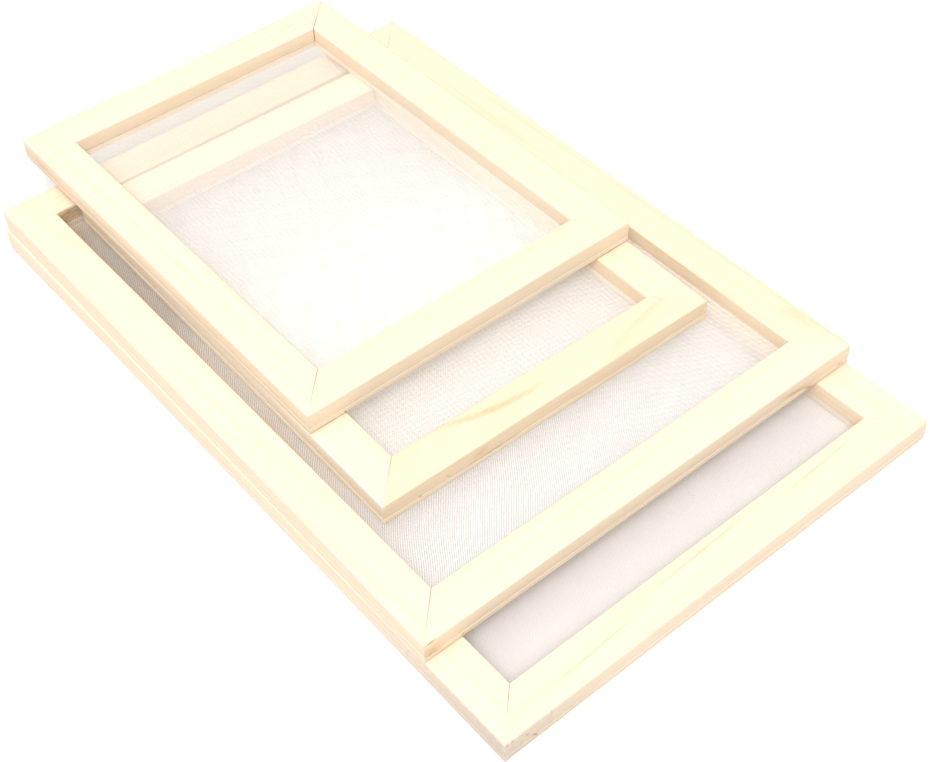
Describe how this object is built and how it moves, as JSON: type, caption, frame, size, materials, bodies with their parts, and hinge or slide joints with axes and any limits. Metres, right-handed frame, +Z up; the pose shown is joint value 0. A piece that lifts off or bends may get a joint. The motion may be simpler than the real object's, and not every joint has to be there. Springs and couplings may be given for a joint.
{
  "type": "stack of screen printing frames",
  "caption": "Flat rectangular wooden frames in two widths, mitred at the corners, each clamping a fine stretched mesh, lying stepped on one another.",
  "frame": {"origin": "middle of the stack's footprint, on the surface that the lowest frame lies on", "axes": "+Z up; +X along the short rails, to the right as seen from the lowest frame's exposed front rail; +Y along the long rails, away from that front rail"},
  "size_m": [0.2512, 0.412, 0.0406],
  "materials": {
    "rail_wood": "bare sanded pale softwood",
    "strip_wood": "bare sanded pale softwood",
    "white_mesh": "fine white plain-weave polyester mesh, see-through",
    "nail_steel": "plain steel strip"
  },
  "bodies": {
    "large_lower_frame": {"large_lower_front_rail": "rail_wood", "large_lower_front_backing_strip": "strip_wood", "large_lower_right_rail": "rail_wood", "large_lower_right_backing_strip": "strip_wood", "large_lower_back_rail": "rail_wood", "large_lower_back_backing_strip": "strip_wood", "large_lower_left_rail": "rail_wood", "large_lower_left_backing_strip": "strip_wood", "large_lower_mesh": "white_mesh", "large_lower_front_left_v_nail": "nail_steel", "large_lower_front_right_v_nail": "nail_steel", "large_lower_back_right_v_nail": "nail_steel", "large_lower_back_left_v_nail": "nail_steel"},
    "large_upper_frame": {"large_upper_front_rail": "rail_wood", "large_upper_front_backing_strip": "strip_wood", "large_upper_right_rail": "rail_wood", "large_upper_right_backing_strip": "strip_wood", "large_upper_back_rail": "rail_wood", "large_upper_back_backing_strip": "strip_wood", "large_upper_left_rail": "rail_wood", "large_upper_left_backing_strip": "strip_wood", "large_upper_mesh": "white_mesh", "large_upper_front_left_v_nail": "nail_steel", "large_upper_front_right_v_nail": "nail_steel", "large_upper_back_right_v_nail": "nail_steel", "large_upper_back_left_v_nail": "nail_steel"},
    "small_lower_frame": {"small_lower_front_rail": "rail_wood", "small_lower_front_backing_strip": "strip_wood", "small_lower_right_rail": "rail_wood", "small_lower_right_backing_strip": "strip_wood", "small_lower_back_rail": "rail_wood", "small_lower_back_backing_strip": "strip_wood", "small_lower_left_rail": "rail_wood", "small_lower_left_backing_strip": "strip_wood", "small_lower_mesh": "white_mesh", "small_lower_front_left_v_nail": "nail_steel", "small_lower_front_right_v_nail": "nail_steel", "small_lower_back_right_v_nail": "nail_steel", "small_lower_back_left_v_nail": "nail_steel"},
    "small_upper_frame": {"small_upper_front_rail": "rail_wood", "small_upper_front_backing_strip": "strip_wood", "small_upper_right_rail": "rail_wood", "small_upper_right_backing_strip": "strip_wood", "small_upper_back_rail": "rail_wood", "small_upper_back_backing_strip": "strip_wood", "small_upper_left_rail": "rail_wood", "small_upper_left_backing_strip": "strip_wood", "small_upper_mesh": "white_mesh", "small_upper_front_left_v_nail": "nail_steel", "small_upper_front_right_v_nail": "nail_steel", "small_upper_back_right_v_nail": "nail_steel", "small_upper_back_left_v_nail": "nail_steel"}
  },
  "joints": [
    {"name": "large_upper_lift", "type": "slide", "parent": "large_lower_frame", "child": "large_upper_frame", "axis": [0, 0, 1], "range_m": [0, 0.06]},
    {"name": "small_lower_lift", "type": "slide", "parent": "large_upper_frame", "child": "small_lower_frame", "axis": [0, 0, 1], "range_m": [0, 0.06]},
    {"name": "small_upper_lift", "type": "slide", "parent": "small_lower_frame", "child": "small_upper_frame", "axis": [0, 0, 1], "range_m": [0, 0.06]}
  ]
}
